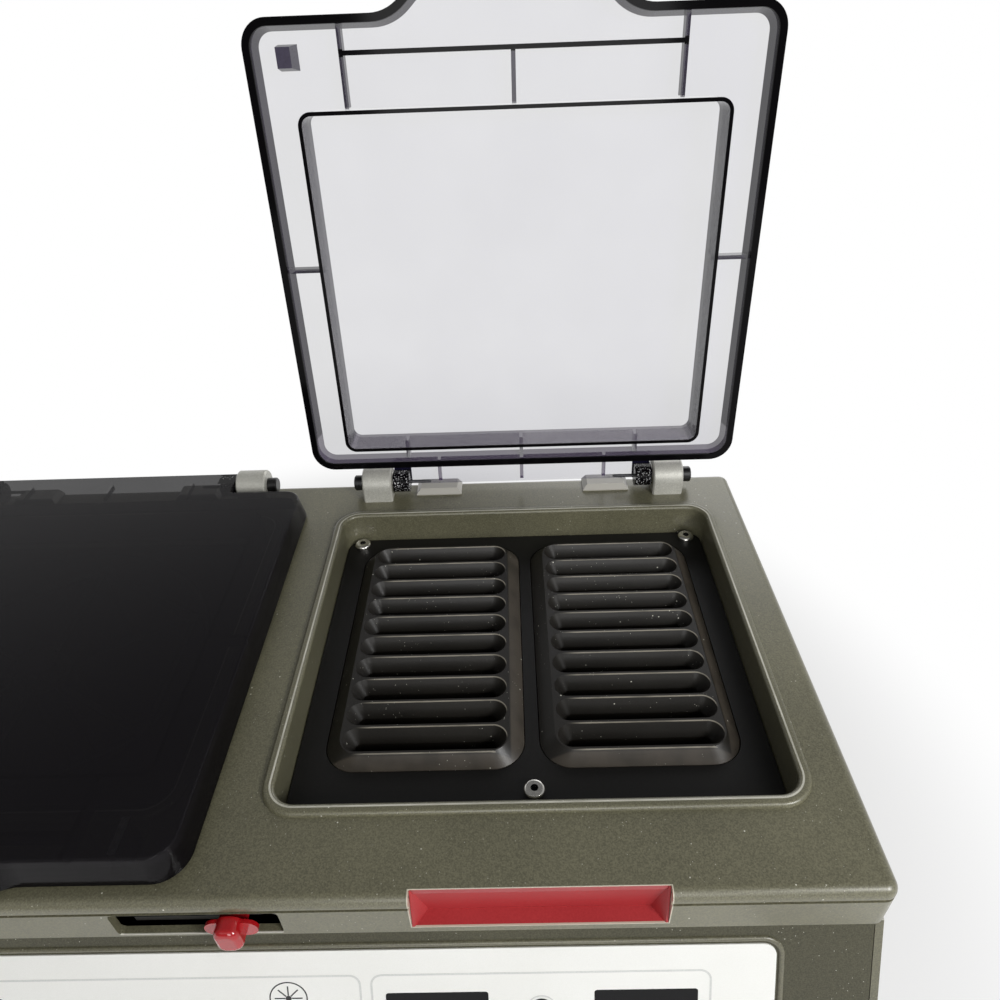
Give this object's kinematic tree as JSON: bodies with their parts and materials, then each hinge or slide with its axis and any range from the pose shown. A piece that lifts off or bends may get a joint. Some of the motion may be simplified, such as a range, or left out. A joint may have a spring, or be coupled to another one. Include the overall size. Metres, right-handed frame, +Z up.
{
  "type": "benchtop card incubator and centrifuge",
  "caption": "Two-bay bench unit: an open smoked lid over heated banks of card slots, and a shut lid over a card centrifuge, above a sloping white control panel.",
  "frame": {"origin": "on the table, in the plane of the feet, under the middle of the whole box with the right lid open", "axes": "+X to the right across the two bays, +Y to the hinges at the rear, +Z up"},
  "size_m": [0.4938, 0.3096, 0.4374],
  "materials": {
    "deck_paint": "dark olive-grey textured paint with a low sheen",
    "case_paint": "dark olive-grey textured paint",
    "rack_black": "black anodised, satin",
    "black_plastic": "black moulded plastic",
    "panel_white": "white printed front sheet, low gloss",
    "display_dark": "dark display lens",
    "smoked_clear": "smoked clear moulding, glossy",
    "red_plastic": "red moulded plastic",
    "hinge_grey": "silver-grey paint",
    "pin_black": "black oxide",
    "bright_steel": "bright plated steel",
    "steel": "plain sheet steel",
    "bowl_steel": "bright sheet metal",
    "rotor_plastic": "dark grey moulding",
    "motor_metal": "dark painted motor can",
    "rubber": "black rubber",
    "foam": "grey foam board",
    "heater_film": "amber heater film",
    "board_green": "circuit board",
    "electronics_grey": "moulded components",
    "supply_metal": "folded sheet can",
    "key_grey": "grey key caps",
    "key_black": "black key cap"
  },
  "bodies": {
    "case": {"deck": "deck_paint", "well_frame_left": "deck_paint", "well_frame_right": "deck_paint", "side_panel_left": "case_paint", "side_panel_right": "case_paint", "rear_panel": "case_paint", "front_panel": "case_paint", "lower_front": "case_paint", "base_pan": "steel", "rubber_feet": "rubber", "case_screws": "bright_steel", "finger_grips": "red_plastic", "panel_overlay": "panel_white", "display_lenses": "display_dark", "display_board": "board_green", "digit_modules": "electronics_grey", "key_switches": "electronics_grey", "rack_tray": "black_plastic", "well_screws": "bright_steel", "card_bank_left": "rack_black", "card_bank_right": "rack_black", "temperature_probes": "bright_steel", "heater_mats": "heater_film", "insulation": "foam", "rack_shelf": "steel", "bowl": "bowl_steel", "bowl_seal": "rubber", "motor_body": "motor_metal", "motor_bearings": "bright_steel", "motor_plate": "steel", "motor_mounts": "rubber", "motor_posts": "steel", "hinge_blocks": "hinge_grey", "hinge_pins": "pin_black", "lid_sensors": "electronics_grey", "lock_guide": "pin_black", "fan_frame": "black_plastic", "power_inlet": "black_plastic", "switch_frame": "black_plastic", "fuse_holder": "black_plastic", "main_board": "board_green", "power_supply": "supply_metal"},
    "lid_right": {"lid_right": "smoked_clear", "lid_magnet_right": "black_plastic"},
    "lid_left": {"lid_left": "smoked_clear", "lid_magnet_left": "black_plastic", "lock_keeper": "steel"},
    "rotor": {"rotor": "rotor_plastic", "rotor_nut": "black_plastic", "motor_shaft": "bright_steel"},
    "fan": {"fan_rotor": "black_plastic"},
    "lock_slide": {"lock_knob": "red_plastic", "lock_bar": "pin_black"},
    "power_rocker": {"power_rocker": "key_black"},
    "key_timer_left": {"key_timer_left": "key_grey"},
    "key_timer_mid": {"key_timer_mid": "key_black"},
    "key_timer_right": {"key_timer_right": "key_grey"},
    "key_spin_less": {"key_spin_less": "key_grey"},
    "key_spin_start": {"key_spin_start": "key_grey"},
    "key_spin_more": {"key_spin_more": "key_grey"}
  },
  "joints": [
    {"name": "lid_right_hinge", "type": "hinge", "parent": "case", "child": "lid_right", "pos_m": [0.1215, 0.12106, 0.1929], "axis": [-1, 0, 0], "range_deg": [-96.5, 0]},
    {"name": "lid_left_hinge", "type": "hinge", "parent": "case", "child": "lid_left", "pos_m": [-0.1215, 0.12106, 0.1929], "axis": [-1, 0, 0], "range_deg": [0, 96.5]},
    {"name": "rotor_spin", "type": "hinge", "parent": "case", "child": "rotor", "pos_m": [-0.1215, 0.00771, 0.101], "axis": [0, 0, 1], "continuous": true},
    {"name": "fan_spin", "type": "hinge", "parent": "case", "child": "fan", "pos_m": [0.15, 0.12816, 0.07], "axis": [0, 1, 0], "continuous": true},
    {"name": "lock_slide", "type": "slide", "parent": "case", "child": "lock_slide", "axis": [-1, 0, 0], "range_m": [0, 0.026]},
    {"name": "power_rocker_tilt", "type": "hinge", "parent": "case", "child": "power_rocker", "pos_m": [-0.145, 0.12216, 0.05], "axis": [1, 0, 0], "range_deg": [-20, 0]},
    {"name": "key_timer_left_press", "type": "slide", "parent": "case", "child": "key_timer_left", "axis": [0, 0.9063, -0.4226], "range_m": [0, 0.001], "stiffness_N_per_m": 400, "springref_m": -0.001},
    {"name": "key_timer_mid_press", "type": "slide", "parent": "case", "child": "key_timer_mid", "axis": [0, 0.9063, -0.4226], "range_m": [0, 0.001], "stiffness_N_per_m": 400, "springref_m": -0.001},
    {"name": "key_timer_right_press", "type": "slide", "parent": "case", "child": "key_timer_right", "axis": [0, 0.9063, -0.4226], "range_m": [0, 0.001], "stiffness_N_per_m": 400, "springref_m": -0.001},
    {"name": "key_spin_less_press", "type": "slide", "parent": "case", "child": "key_spin_less", "axis": [0, 0.9063, -0.4226], "range_m": [0, 0.001], "stiffness_N_per_m": 400, "springref_m": -0.001},
    {"name": "key_spin_start_press", "type": "slide", "parent": "case", "child": "key_spin_start", "axis": [0, 0.9063, -0.4226], "range_m": [0, 0.001], "stiffness_N_per_m": 400, "springref_m": -0.001},
    {"name": "key_spin_more_press", "type": "slide", "parent": "case", "child": "key_spin_more", "axis": [0, 0.9063, -0.4226], "range_m": [0, 0.001], "stiffness_N_per_m": 400, "springref_m": -0.001}
  ]
}
